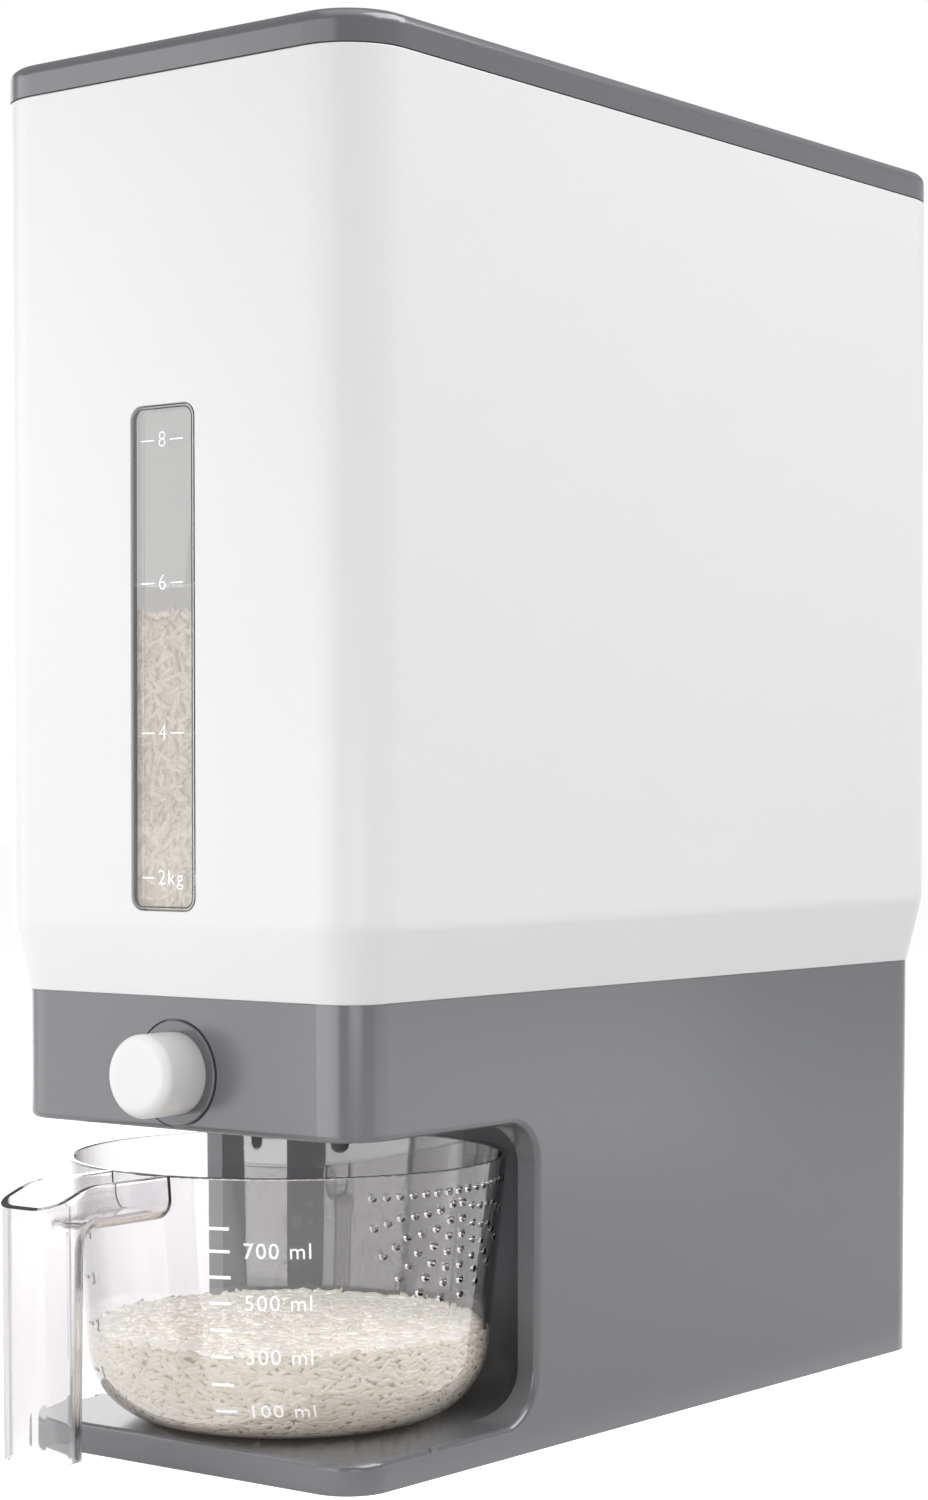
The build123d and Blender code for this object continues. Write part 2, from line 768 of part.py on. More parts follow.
def handle_form(inset, ends):
    """Hook-shaped handle: a trough out from the rim and a tube hanging down, set in by its wall."""
    inner = cup_rim_radius + handle_gap + inset
    outer = cup_rim_radius + handle_gap + handle_depth - inset
    foot_inner = inner - handle_foot_lean
    foot_outer = foot_inner + handle_foot_depth - 2 * inset
    foot = handle_foot_rise - ends
    under = cup_height - handle_trough + inset
    half_width = handle_width / 2 - inset
    points = [
        (cup_rim_radius / 2, cup_height + ends),
        (inner + handle_dip_start, cup_height + ends),
        (outer, cup_height - handle_dip + ends),
        (foot_outer, foot),
        (foot_inner, foot),
        (inner, under),
        (cup_rim_radius / 2, under),
    ]
    hook = make_face(Polyline(*points, close=True))
    hook = fillet(hook.vertices().sort_by_distance((inner, under))[0], handle_bend + inset)
    dip = (inner + handle_dip_start, cup_height + ends)
    hook = fillet(hook.vertices().sort_by_distance(dip)[0], handle_dip_bend)
    plane = Plane(origin=(0, 0, 0), x_dir=(0, -1, 0), z_dir=(-1, 0, 0))
    form = extrude(plane * hook, amount=half_width, both=True)
    underside = []
    for edge in side_edges(form, half_width):
        middle = edge @ 0.5
        if -middle.Y < inner + touch and foot + touch < middle.Z < under + touch:
            underside.append(edge)
    widest = handle_foot_depth - handle_outer_round - handle_foot_flat
    form = fillet(underside, min(handle_inner_round, widest) - inset)
    outside = [edge for edge in side_edges(form, half_width) if -(edge @ 0.5).Y > foot_outer]
    return fillet(outside, handle_outer_round - inset)


def side_edges(form, half_width):
    """Edges in the two side planes of the handle."""
    return [edge for edge in form.edges() if abs(abs((edge @ 0.5).X) - half_width) < touch]


def drain_places():
    """Half disc of holes: a straight top row and rings below it, across and down the wall."""
    places = [(0, 0)]
    for ring in range(1, drain_ring_count + 1):
        step_count = min(2 * ring + 1, drain_spoke_limit_count)
        for step in range(step_count + 1):
            turn = math.pi * step / step_count
            reach = ring * drain_ring_pitch
            places.append((reach * math.cos(turn), reach * math.sin(turn)))
    return places


def drain_holes():
    """Round holes square to the cup's axis, on its +X side."""
    holes = []
    slope = math.tan(math.radians(cup_draft_angle))
    for across, down in drain_places():
        drop = drain_drop + down
        radius = cup_rim_radius - drop * slope - cup_wall / 2
        turn = Rot(0, 0, math.degrees(across / radius))
        bore = Rot(0, 90, 0) * Cylinder(drain_hole_radius, 2 * cup_wall)
        holes.append(turn * Pos(radius, 0, cup_height - drop) * bore)
    return holes


def measuring_cup():
    """Clear cup: bowl, hollow handle and drain holes on one side."""
    bowl = bowl_form(0) - bowl_form(cup_wall)
    rim = bowl.faces().sort_by(Axis.Z)[-1]
    bowl = fillet(rim.edges().sort_by(SortBy.RADIUS)[0], cup_rim_round)
    bowl -= drain_holes()
    handle = handle_form(0, 0) - handle_form(handle_wall, overrun) - bowl_form(0)
    cup = bowl + handle
    return Pos(0, cup_y, cup_level) * cup


pieces = {
    "base_housing": base_housing,
    "bottom_cover": bottom_cover,
    "cover_screws": cover_screws,
    "foot_pads": foot_pads,
    "hopper_body": hopper_body,
    "window_pane": window_pane,
    "window_seal": window_seal,
    "hopper_screws": hopper_screws,
    "hopper_floor": hopper_floor,
    "floor_seal": floor_seal,
    "throat_seal": throat_seal,
    "gate_guide": gate_guide,
    "guide_screws": guide_screws,
    "gate_plate": gate_plate,
    "button_cap": button_cap,
    "button_bush": button_bush,
    "bush_clip": bush_clip,
    "push_rod": push_rod,
    "rod_screw": rod_screw,
    "return_spring": return_spring,
    "lid": lid,
    "lid_liner": lid_liner,
    "lid_seal": lid_seal,
    "measuring_cup": measuring_cup,
}

os.makedirs("parts", exist_ok=True)
for name, make in pieces.items():
    export_step(make(), f"parts/{name}.step")
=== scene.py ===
"""Looks of a rice dispenser: white hopper with a level window, grey stand, push button and clear cup."""

import math
import random

import bmesh
import bpy
from mathutils import Matrix, Vector


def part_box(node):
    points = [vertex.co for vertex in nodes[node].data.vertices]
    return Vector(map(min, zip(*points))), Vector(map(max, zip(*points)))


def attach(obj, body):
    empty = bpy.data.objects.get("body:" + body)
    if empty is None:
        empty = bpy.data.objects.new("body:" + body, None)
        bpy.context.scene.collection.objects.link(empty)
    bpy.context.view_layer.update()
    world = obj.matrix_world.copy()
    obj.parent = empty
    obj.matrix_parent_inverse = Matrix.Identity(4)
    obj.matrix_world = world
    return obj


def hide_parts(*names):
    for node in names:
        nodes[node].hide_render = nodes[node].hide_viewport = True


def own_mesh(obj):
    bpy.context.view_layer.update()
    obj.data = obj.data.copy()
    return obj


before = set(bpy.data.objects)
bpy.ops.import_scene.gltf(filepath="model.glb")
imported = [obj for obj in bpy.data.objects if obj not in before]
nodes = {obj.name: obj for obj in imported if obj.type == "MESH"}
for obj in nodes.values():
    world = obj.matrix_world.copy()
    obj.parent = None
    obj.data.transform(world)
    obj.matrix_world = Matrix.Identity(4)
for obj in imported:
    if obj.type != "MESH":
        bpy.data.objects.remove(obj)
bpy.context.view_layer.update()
scene = bpy.context.scene
mm = 0.001
full_turn = 2 * math.pi
straight_up = Vector((0, 0, 1))

# Sizes that the frame gives
hopper_low, hopper_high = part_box("hopper_body")
cup_low, cup_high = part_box("measuring_cup")
half_width = hopper_high.x
half_depth = hopper_high.y
rim_level = hopper_high.z
seam_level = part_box("base_housing")[1].z
spigot_level = hopper_low.z
cup_radius = cup_high.x
cup_y = cup_high.y - cup_radius
cup_rim = cup_high.z

# Hopper
shoulder_level = 170.5 * mm
shoulder_inset = 1.35 * mm
seam_inset = 7.15 * mm
hopper_corner = 22 * mm
hopper_wall = 2.2 * mm
ledge_level = seam_level + 3 * mm
ledge_inset = 22.35 * mm
ledge_corner = 10 * mm
spigot_inset = 9.95 * mm
spigot_wall = 2 * mm
corner_steps = 14
shoulder_round = 1.8 * mm
edge_round = 0.5 * mm
round_steps = 3
outline_slack = 0.05 * mm
level_slack = 0.02 * mm

# Level window
window_half = 13.5 * mm
window_bottom = 174 * mm
window_top = 331.5 * mm
window_corner = 4.5 * mm
window_edge = 0.35 * mm
front_face_area = 0.01
front_face_slant = 0.9
front_face_slack = 1 * mm
pane_gap = 0.3 * mm
pane_thickness = 4.6 * mm
pane_edge = 1.1 * mm
pane_recess = 0.15 * mm
# Slants of the pane's faces that are painted dark as painted shade: its sides and a thin ring of its bevel
pane_side_shade_slant = 0.05
pane_edge_shade_slant = (0.95, 0.995)

# Measuring cup
cup_draft = math.radians(5.8)
cup_wall_thickness = 2 * mm
cup_foot_radius = 25 * mm
cup_foot_edge = cup_radius - (cup_rim - cup_low.z) * math.tan(cup_draft)
cup_foot_centre = cup_foot_edge - cup_foot_radius * math.tan(math.pi / 4 - cup_draft / 2)
cup_foot_level = cup_low.z + cup_foot_radius
cup_turn_level = cup_foot_level - cup_foot_radius * math.sin(cup_draft)
handle_start = cup_y - cup_radius - 25 * mm
handle_top = 70 * mm
handle_foot = 13 * mm
handle_swing = 3 * mm
merge_distance = 0.001 * mm

# Marks: a stroke is its length and height, a figure its words and level
capital_share = 0.72
figure_relief = 0.18 * mm
figure_steps = 3
stroke_relief = 0.2 * mm
stroke_steps = 8
weights = (("8", 320.4 * mm), ("6", 275.9 * mm), ("4", 229.3 * mm))
weight_height = 5.2 * mm
weight_thinning = -0.16 * mm
weight_stroke = (5.6 * mm, 0.36 * mm)
weight_stroke_out = 6.1 * mm
low_weight, low_weight_level = "2kg", 184.3 * mm
low_weight_height = 4.8 * mm
low_weight_thinning = -0.07 * mm
low_weight_spacing = 1.2
low_weight_start = -2.1 * mm
low_stroke = (4.9 * mm, 0.5 * mm)
low_stroke_middle = -6.0 * mm
volumes = (
    ("", 78.5 * mm),
    ("700 ml", 71.5 * mm),
    ("", 63.5 * mm),
    ("500 ml", 55.5 * mm),
    ("", 47.2 * mm),
    ("300 ml", 38.9 * mm),
    ("", 30.3 * mm),
    ("100 ml", 21.7 * mm),
)
volume_height = 5 * mm
volume_spacing = 1.12
volume_angle = -60.8
volume_stroke = (7.1 * mm, 1.0 * mm)
volume_stroke_angle = -67.1
second_figures = (("4", 72 * mm), ("3", 57.6 * mm), ("2", 42.8 * mm), ("1", 28 * mm))
second_height = 3.8 * mm
second_angle = -115.5
second_stroke = (4 * mm, 0.8 * mm)
second_stroke_angle = -120

# Surfaces
plastic_gloss_spread = 0.06
plastic_cloud = 0.02
plastic_relief_depth = 0.05 * mm
cloud_scale = 14
cloud_detail = 4
ripple_density = 60
ripple_depth = 0.2 * mm
# Facing values between which clear plastic greys to its painted edge shade
turning_shade_span = (0.45, 0.93)
clear_shadow = (0.86, 0.855, 0.865, 1)
clear_refraction = 1.49
polish_refraction = 1.6
chalk_density = 420
chalk_share = 0.45
tone_share = 0.7
tone_limits = (0.2, 0.8)
rice_roughness = 0.42
steel_lines = (2600, 60, 2600)
steel_roughness = (0.22, 0.42)
steel_shades = ((0.5, 0.5, 0.52), (0.68, 0.68, 0.7))

# Rice grains
grain_length = 5.7 * mm
grain_width = 1.9 * mm
grain_thickness = 1.5 * mm
girth_spread = (0.88, 1.12)
length_spread = (0.78, 1.1)
fine_grain = (6, 5)
coarse_grain = (5, 4)
all_smooth = 180

# Rice in the cup
cup_seed = 11
cup_floor = cup_low.z + cup_wall_thickness
cup_rice_level = 39.5 * mm
cup_rice_heap = 3.5 * mm
cup_heap_edge = 8 * mm
thinnest_slope = 0.2
bed_gap = 0.3 * mm
bed_depth = 1.1 * mm
bed_start = 0.4 * mm
bed_edge = 1.4 * mm
bed_steps = 16
bed_bunching = 1.8
bed_shares = (0.8, 0.7, 0.5, 0.3, 0.15, 0)
bed_sides = 64
bed_merge = 0.01 * mm
bed_smooth = 80
grain_spacing = 3.5 * mm
row_spacing = 1.15 * mm
row_start = 0.5 * mm
row_end = 0.8 * mm
row_slope = 0.4
row_shift = 0.3
row_scatter = 0.4
lowest_grain = 0.2 * mm
wall_sink = grain_thickness / 2 - 0.45 * mm
wall_depths = (0, 0, 0.25 * mm)
wall_tilt = 0.03
wall_lie = 0.5
cup_top_grains = 3000
cup_top_inset = 1.6 * mm
cup_top_scatter = (-0.9, 0.1)
cup_top_tilt = 0.04

# Rice in the hopper
hopper_seed = 23
hopper_rice_level = 266 * mm
hopper_bed_inset = hopper_wall + 5 * mm
hopper_bed_depth = 2 * mm
hopper_bed_steps = 4
front_grains = 900
front_below = 2 * mm
front_above = 1 * mm
front_beside = 3 * mm
front_gap = 0.8 * mm
front_depths = (0.2, 0.2, 1.2, 2.2)
front_tilt = 0.1
top_tries = 5600
top_side_gap = 3.5 * mm
top_end_gap = 3 * mm
top_corner_gap = 4 * mm
top_wave = 1.6 * mm
top_wave_across = 55
top_wave_along = 31
top_wave_shift = 0.6
top_scatter = (-1.2, 0.5)
top_tilt = 0.2

# Studio: levels of light, directions, and the pairs between which one light fades into another
white = (1, 1, 1, 1)
backdrop_way = (-0.61, 0.79, 0)
cup_backdrop_way = (-0.647, 0.748, -0.15)
cup_floor_way = (-0.654, 0.756, 0)
room_edge = (-0.35, 0.25)
ceiling_edge = (0.04, 0.3)
backdrop_edge = (0.93, 0.985)
floor_right_shade_edge = (0.06, 0.1)
room_level = 0.42
side_level = 0.15
ceiling_level = 0.3
ambient_level = 0.2
floor_half = 8
floor_glow = 0.85
floor_right_shade_level = 0.5
paper_tone = 0.6

# Lamps: name, azimuth, level, distance, width, height, radiance and the Y that the azimuth turns about
lamps = (
    ("front_low", -7, 0.15, 0.62, 0.62, 0.3, 2.2, -0.13),
    ("front_high", -9, 0.47, 0.62, 0.66, 0.34, 1.3, -0.13),
    ("left_low", -56, 0.156, 0.62, 0.4, 0.313, 1.0, -0.13),
    ("left_high", -56, 0.47, 0.62, 0.4, 0.34, 1.7, -0.13),
    ("left_rim", -112, 0.35, 1.1, 0.9, 0.9, 1.3, 0),
    ("right_high", 112, 1.45, 0.95, 1.5, 0.9, 5.6, 0),
    ("right_low", 115, 0.06, 0.65, 0.7, 0.12, 0.6, 0),
    ("right_strip", 51, 0.13, 0.85, 0.36, 0.1, 3.6, -0.05),
    ("overhead", 30, 1.35, 0.4, 1.0, 1.0, 1.2, 0),
)

# Camera
camera_place = (676.5 * mm, -897.3 * mm, 211.7 * mm)
camera_way = (-0.61144, 0.79119, 0.01251)
camera_lens = 76.18
camera_sensor = 36
camera_near = 0.05


# Nodes
def feed(tree, node, inputs):
    """Links a node's inputs to sockets, or sets them to plain values."""
    for name, value in inputs.items():
        if isinstance(value, bpy.types.NodeSocket):
            tree.links.new(value, node.inputs[name])
        else:
            node.inputs[name].default_value = value


def add_node(tree, kind, inputs, operation=None):
    """A new node with its inputs fed."""
    node = tree.nodes.new(kind)
    if operation:
        node.operation = operation
    feed(tree, node, inputs)
    return node


def combined(tree, operation, *operands):
    """Result of a sum on sockets and plain numbers."""
    return add_node(tree, "ShaderNodeMath", dict(enumerate(operands)), operation).outputs[0]


def mapped(tree, value, limits, to_low, to_high):
    """Smooth step of a value between two limits."""
    low, high = limits
    levels = {"Value": value, "From Min": low, "From Max": high, "To Min": to_low, "To Max": to_high}
    step = add_node(tree, "ShaderNodeMapRange", levels)
    step.interpolation_type = "SMOOTHSTEP"
    return step.outputs["Result"]


def noise(tree, way, scale, detail=2):
    """Cloudy pattern of a given fineness."""
    node = add_node(tree, "ShaderNodeTexNoise", {"Vector": way, "Scale": scale, "Detail": detail})
    return node.outputs["Fac"]


def ramp(tree, value, low, high, ends=(0, 1)):
    """Colour that runs from one to another."""
    node = add_node(tree, "ShaderNodeValToRGB", {"Fac": value})
    for element, position, colour in zip(node.color_ramp.elements, ends, (low, high)):
        element.position = position
        element.color = (*colour, 1)
    return node.outputs["Color"]


def object_place(tree):
    return tree.nodes.new("ShaderNodeTexCoord").outputs["Object"]


def make_moulded_skin():
    """Fine moulding texture, faint cloudiness of colour and uneven gloss of a plastic surface."""
    group = bpy.data.node_groups.new("moulded_skin", "ShaderNodeTree")
    for direction, name, kind in (
        ("INPUT", "Colour", "NodeSocketColor"),
        ("INPUT", "Gloss", "NodeSocketFloat"),
        ("INPUT", "Gloss spread", "NodeSocketFloat"),
        ("INPUT", "Grain density", "NodeSocketFloat"),
        ("INPUT", "Cloud", "NodeSocketFloat"),
        ("OUTPUT", "Colour", "NodeSocketColor"),
        ("OUTPUT", "Roughness", "NodeSocketFloat"),
        ("OUTPUT", "Height", "NodeSocketFloat"),
    ):
        group.interface.new_socket(name=name, in_out=direction, socket_type=kind)
    given = group.nodes.new("NodeGroupInput").outputs
    place = object_place(group)
    fine = noise(group, place, given["Grain density"])
    broad = noise(group, place, cloud_scale, cloud_detail)
    centred = combined(group, "SUBTRACT", broad, 0.5)
    gloss = combined(group, "MULTIPLY_ADD", centred, given["Gloss spread"], given["Gloss"])
    tone = combined(group, "MULTIPLY_ADD", centred, given["Cloud"], 1)
    tint = add_node(group, "ShaderNodeVectorMath", {0: given["Colour"], "Scale": tone}, "SCALE")
    add_node(group, "NodeGroupOutput", {"Colour": tint.outputs[0], "Roughness": gloss, "Height": fine})
    return group


moulded_skin = make_moulded_skin()


# Materials
def new_material(name):
    """A material with its nodes and its main shader."""
    material = bpy.data.materials.new(name)
    material.use_nodes = True
    return material, material.node_tree, material.node_tree.nodes["Principled BSDF"]


def add_skin(tree, shader, colour, gloss, spread, density, cloud, relief, depth):
    """Gives a shader the gloss and relief of the moulded skin, and hands back the skin's colour."""
    skin = tree.nodes.new("ShaderNodeGroup")
    skin.node_tree = moulded_skin
    look = {"Gloss": gloss, "Gloss spread": spread, "Grain density": density, "Cloud": cloud}
    feed(tree, skin, {"Colour": (*colour, 1), **look})
    height = skin.outputs["Height"]
    bump = add_node(tree, "ShaderNodeBump", {"Strength": relief, "Distance": depth, "Height": height})
    feed(tree, shader, {"Roughness": skin.outputs["Roughness"], "Normal": bump.outputs["Normal"]})
    return skin.outputs["Colour"]


def plastic(name, colour, gloss, density=900, relief=0.02, specular=0.5):
    """Opaque moulded plastic with its fine texture."""
    material, tree, shader = new_material(name)
    spread, cloud, depth = plastic_gloss_spread, plastic_cloud, plastic_relief_depth
    tone = add_skin(tree, shader, colour, gloss, spread, density, cloud, relief, depth)
    feed(tree, shader, {"Base Color": tone, "Specular IOR Level": specular})
    return material


def painted_glow_plastic(name, colour, gloss, glow):
    """Plastic with a painted glow; on the hopper's inside it stands in for daylight that comes through the
    white wall.
    """
    material = plastic(name, colour, gloss)
    tree = material.node_tree
    feed(tree, tree.nodes["Principled BSDF"], {"Emission Color": white, "Emission Strength": glow})
    return material


def clear_plastic(name, tint, edge_painted_shade, depth_tint, density, gloss, relief, polish, specular):
    """Clear plastic that light passes through to what it holds, greyer where it is thick, with painted
    shade where it turns away from view.
    """
    material, tree, shader = new_material(name)
    colour = add_skin(tree, shader, tint, gloss, gloss, ripple_density, 0, relief, ripple_depth)
    # Painted shade: the colour greys towards the edge shade where the surface turns away from view
    facing = tree.nodes.new("ShaderNodeLayerWeight").outputs["Facing"]
    blend = tree.nodes.new("ShaderNodeMix")
    blend.data_type = "RGBA"
    feed(tree, blend, {0: mapped(tree, facing, turning_shade_span, 0, 1), 6: colour, 7: (*edge_painted_shade, 1)})
    feed(tree, shader, {
        "Base Color": blend.outputs[2],
        "Transmission Weight": 1,
        "IOR": clear_refraction,
        "Specular IOR Level": specular,
        "Coat Weight": polish,
        "Coat IOR": polish_refraction,
    })
    path = tree.nodes.new("ShaderNodeLightPath").outputs
    light_ray = combined(tree, "MAXIMUM", path["Is Shadow Ray"], path["Is Diffuse Ray"])
    let_through = add_node(tree, "ShaderNodeBsdfTransparent", {"Color": clear_shadow})
    shaders = {0: light_ray, 1: shader.outputs[0], 2: let_through.outputs[0]}
    mixed = add_node(tree, "ShaderNodeMixShader", shaders)
    absorb = add_node(tree, "ShaderNodeVolumeAbsorption", {"Color": (*depth_tint, 1), "Density": density})
    feed(tree, tree.nodes["Material Output"], {"Surface": mixed.outputs[0], "Volume": absorb.outputs[0]})
    return material


def rice_skin(name, pale, deep, glow):
    """Rice: each grain has its own tone, with a chalky patch along it, and a painted glow of its own colour
    that stands in for light passing through the grains.
    """
    material, tree, shader = new_material(name)
    tone = tree.nodes.new("ShaderNodeAttribute")
    tone.attribute_name = "tone"
    chalk = noise(tree, object_place(tree), chalk_density)
    own_tone = combined(tree, "MULTIPLY", tone.outputs["Fac"], tone_share)
    blend = combined(tree, "MULTIPLY_ADD", chalk, chalk_share, own_tone)
    colour = ramp(tree, blend, deep, pale, tone_limits)
    glowing = {"Emission Color": colour, "Emission Strength": glow}
    feed(tree, shader, {"Base Color": colour, "Roughness": rice_roughness, **glowing})
    return material


def steel(name):
    """Drawn steel with fine lines along its length."""
    material, tree, shader = new_material(name)
    drawn = add_node(tree, "ShaderNodeMapping", {"Vector": object_place(tree), "Scale": steel_lines})
    lines = noise(tree, drawn.outputs["Vector"], 1)
    low, high = steel_roughness
    shade = add_node(tree, "ShaderNodeMapRange", {"Value": lines, "To Min": low, "To Max": high})
    colour = ramp(tree, lines, *steel_shades)
    feed(tree, shader, {"Metallic": 1, "Roughness": shade.outputs["Result"], "Base Color": colour})
    return material


hopper_white = plastic("hopper_white", (0.8, 0.8, 0.8), 0.3)
# Painted light and shade: the hopper's inside is darker than its outside and glows, standing in for
# daylight through the white walls of the closed hopper
hopper_inside_painted_glow = painted_glow_plastic("hopper_inside_painted_glow", (0.4, 0.4, 0.4), 0.5, 0.27)
stand_grey = plastic("stand_grey", (0.142, 0.1445, 0.157), 0.2, specular=0.8)
lid_grey = plastic("lid_grey", (0.145, 0.147, 0.16), 0.2, specular=0.8)
bush_grey = plastic("bush_grey", (0.12, 0.122, 0.133), 0.13, specular=0.8)
button_white = plastic("button_white", (0.82, 0.814, 0.816), 0.28)
guide_grey = plastic("guide_grey", (0.06, 0.06, 0.065), 0.4)
gate_ivory = plastic("gate_ivory", (0.52, 0.52, 0.51), 0.4)
silicone_white = plastic("silicone_white", (0.56, 0.56, 0.55), 0.6, density=1200, relief=0.12)
silicone_dark = plastic("silicone_dark", (0.03, 0.03, 0.03), 0.5, density=1200, relief=0.12)
pad_black = plastic("pad_black", (0.012, 0.012, 0.012), 0.75, density=1500, relief=0.3)
# White print that also glows, as painted light
print_white = painted_glow_plastic("print_white", (0.74, 0.74, 0.74), 0.5, 0.4)
print_grey = plastic("print_grey", (0.42, 0.41, 0.42), 0.3)
cup_clear = clear_plastic(
    "cup_clear", tint=(0.985, 0.984, 0.986), edge_painted_shade=(0.16, 0.135, 0.15), depth_tint=(0.56, 0.505, 0.545),
    density=115, gloss=0.012, relief=0.004, polish=0.7, specular=0.5,
)
pane_clear = clear_plastic(
    "pane_clear", tint=(0.99, 0.99, 0.99), edge_painted_shade=(0.9, 0.9, 0.9), depth_tint=(0.75, 0.75, 0.76),
    density=10, gloss=0.01, relief=0.01, polish=0, specular=0.15,
)
# Dark plastic painted on the pane's sides and a ring of its bevel, as painted shade
pane_painted_edge_shade = plastic("pane_painted_edge_shade", (0.06, 0.06, 0.062), 0.25)
drawn_steel = steel("drawn_steel")
# Rice, with painted light and shade: rice_top is a lit copy, paler and glowing more than rice_wall, the
# grains against the cup's wall; rice_shaded is a shaded copy with a strong painted glow, for the rice in
# the closed hopper
rice_top = rice_skin("rice_top", (0.93, 0.915, 0.85), (0.79, 0.745, 0.65), 0.5)
rice_wall = rice_skin("rice_wall", (0.89, 0.86, 0.745), (0.78, 0.735, 0.595), 0.24)
# Painted shade: the bed between the grains is darker than the grains
rice_gap_shade = rice_skin("rice_gap_shade", (0.66, 0.575, 0.46), (0.56, 0.475, 0.37), 0.2)
rice_shaded = rice_skin("rice_shaded", (0.53, 0.495, 0.44), (0.445, 0.405, 0.35), 0.45)

finishes = {
    "base_housing": stand_grey,
    "bottom_cover": stand_grey,
    "button_bush": bush_grey,
    "lid": lid_grey,
    "hopper_floor": hopper_white,
    "button_cap": button_white,
    "gate_guide": guide_grey,
    "gate_plate": gate_ivory,
    "lid_liner": gate_ivory,
    "window_seal": silicone_dark,
    "floor_seal": silicone_white,
    "throat_seal": silicone_white,
    "lid_seal": silicone_white,
    "foot_pads": pad_black,
    "cover_screws": drawn_steel,
    "hopper_screws": drawn_steel,
    "guide_screws": drawn_steel,
    "bush_clip": drawn_steel,
    "push_rod": drawn_steel,
    "rod_screw": drawn_steel,
}
for node_name, finish in finishes.items():
    nodes[node_name].data.materials.clear()
    nodes[node_name].data.materials.append(finish)


# Making of pieces
def make_piece(bm, name, materials, body, replaced=(), sharp=35, flat_faces=False):
    """Turns a bmesh into a smooth-shaded piece that rides on a body."""
    for face in bm.faces:
        face.smooth = True
    mesh = bpy.data.meshes.new(name)
    bm.to_mesh(mesh)
    bm.free()
    mesh.set_sharp_from_angle(angle=math.radians(sharp))
    for material in materials:
        mesh.materials.append(material)
    piece = bpy.data.objects.new(name, mesh)
    scene.collection.objects.link(piece)
    if flat_faces:
        shade = piece.modifiers.new("even_flats", "WEIGHTED_NORMAL")
        shade.keep_sharp = True
    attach(piece, body)
    if replaced:
        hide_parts(*replaced)
    return piece


def round_off(bm, geom, size, steps, affect="EDGES"):
    bmesh.ops.bevel(bm, geom=geom, offset=size, affect=affect, segments=steps, profile=0.5, material=-1)


def rounded_ring(bm, half_x, half_y, corner, level, steps):
    """Edges of a rectangle with round corners, lying level."""
    verts = bmesh.ops.create_grid(bm, x_segments=1, y_segments=1, size=1)["verts"]
    bmesh.ops.scale(bm, vec=(half_x, half_y, 1), verts=verts)
    bmesh.ops.translate(bm, vec=(0, 0, level), verts=verts)
    known = set(bm.edges) - {e for v in verts for e in v.link_edges}
    round_off(bm, verts, corner, steps, "VERTICES")
    ring = [e for e in bm.edges if e not in known]
    bmesh.ops.delete(bm, geom=[ring[0].link_faces[0]], context="FACES_ONLY")
    return ring


def front_inset(level):
    """How far the hopper's wall has drawn in at a level above the shoulder."""
    return shoulder_inset * (rim_level - level) / (rim_level - shoulder_level)


def build_hopper():
    """Tapered tub with a rounded shoulder, rim, ledge, spigot and window opening."""
    bm = bmesh.new()
    wall = hopper_wall
    foot_share = (ledge_level - seam_level) / (shoulder_level - seam_level)
    foot_inset = seam_inset - (seam_inset - shoulder_inset) * foot_share
    spigot_corner = hopper_corner - seam_inset - spigot_wall
    sections = (
        (spigot_inset, spigot_corner, spigot_level),
        (spigot_inset, spigot_corner, seam_level),
        (seam_inset, hopper_corner - seam_inset, seam_level),
        (shoulder_inset, hopper_corner - shoulder_inset, shoulder_level),
        (0, hopper_corner, rim_level),
        (wall, hopper_corner - wall, rim_level),
        (shoulder_inset + wall, hopper_corner - shoulder_inset - wall, shoulder_level),
        (foot_inset + wall, hopper_corner - foot_inset - wall, ledge_level),
        (ledge_inset, ledge_corner, ledge_level),
        (ledge_inset, ledge_corner, seam_level),
        (spigot_inset + spigot_wall, ledge_corner, seam_level),
        (spigot_inset + spigot_wall, ledge_corner, spigot_level),
    )
    # Faces of the inner skin, which take the darker inside plastic with its painted glow
    inner_skin = (5, 6, 7)
    rings = [
        rounded_ring(bm, half_width - inset, half_depth - inset, corner, level, corner_steps)
        for inset, corner, level in sections
    ]
    for index, ring in enumerate(rings):
        following = rings[(index + 1) % len(rings)]
        for face in bmesh.ops.bridge_loops(bm, edges=ring + following)["faces"]:
            face.material_index = 1 if index in inner_skin else 0
    bmesh.ops.recalc_face_normals(bm, faces=bm.faces)
    cut_window(bm)
    round_off(bm, ring_edges(bm, shoulder_level, shoulder_inset), shoulder_round, round_steps * 2)
    edges = ring_edges(bm, rim_level, 0) + ring_edges(bm, rim_level, wall)
    edges += ring_edges(bm, seam_level, seam_inset)
    round_off(bm, edges, edge_round, round_steps)
    make_piece(
        bm, "hopper_shell", [hopper_white, hopper_inside_painted_glow], "stand", ("hopper_body",),
        flat_faces=True,
    )


def ring_edges(bm, level, inset):
    """Edges of the hopper's ring at a level, drawn in by an inset."""
    return [e for e in bm.edges if all(on_ring(vert.co, level, inset) for vert in e.verts)]


def on_ring(place, level, inset):
    """Whether a point lies at a level and on the hopper's rounded outline, drawn in by an inset."""
    corner = hopper_corner - inset
    out_x = max(abs(place.x) - (half_width - hopper_corner), 0)
    out_y = max(abs(place.y) - (half_depth - hopper_corner), 0)
    on_outline = abs(math.hypot(out_x, out_y) - corner) < outline_slack
    return on_outline and abs(place.z - level) < level_slack


def window_ring(bm, half_x, bottom, top, corner, depth):
    """Rounded outline standing in the hopper's front wall, a depth behind its outer face."""
    middle = (top + bottom) / 2
    ring = rounded_ring(bm, half_x, (top - bottom) / 2, corner, 0, round_steps * 3)
    for vert in {v for e in ring for v in e.verts}:
        level = middle + vert.co.y
        vert.co = (vert.co.x, -(half_depth - front_inset(level)) + depth, level)
    return ring


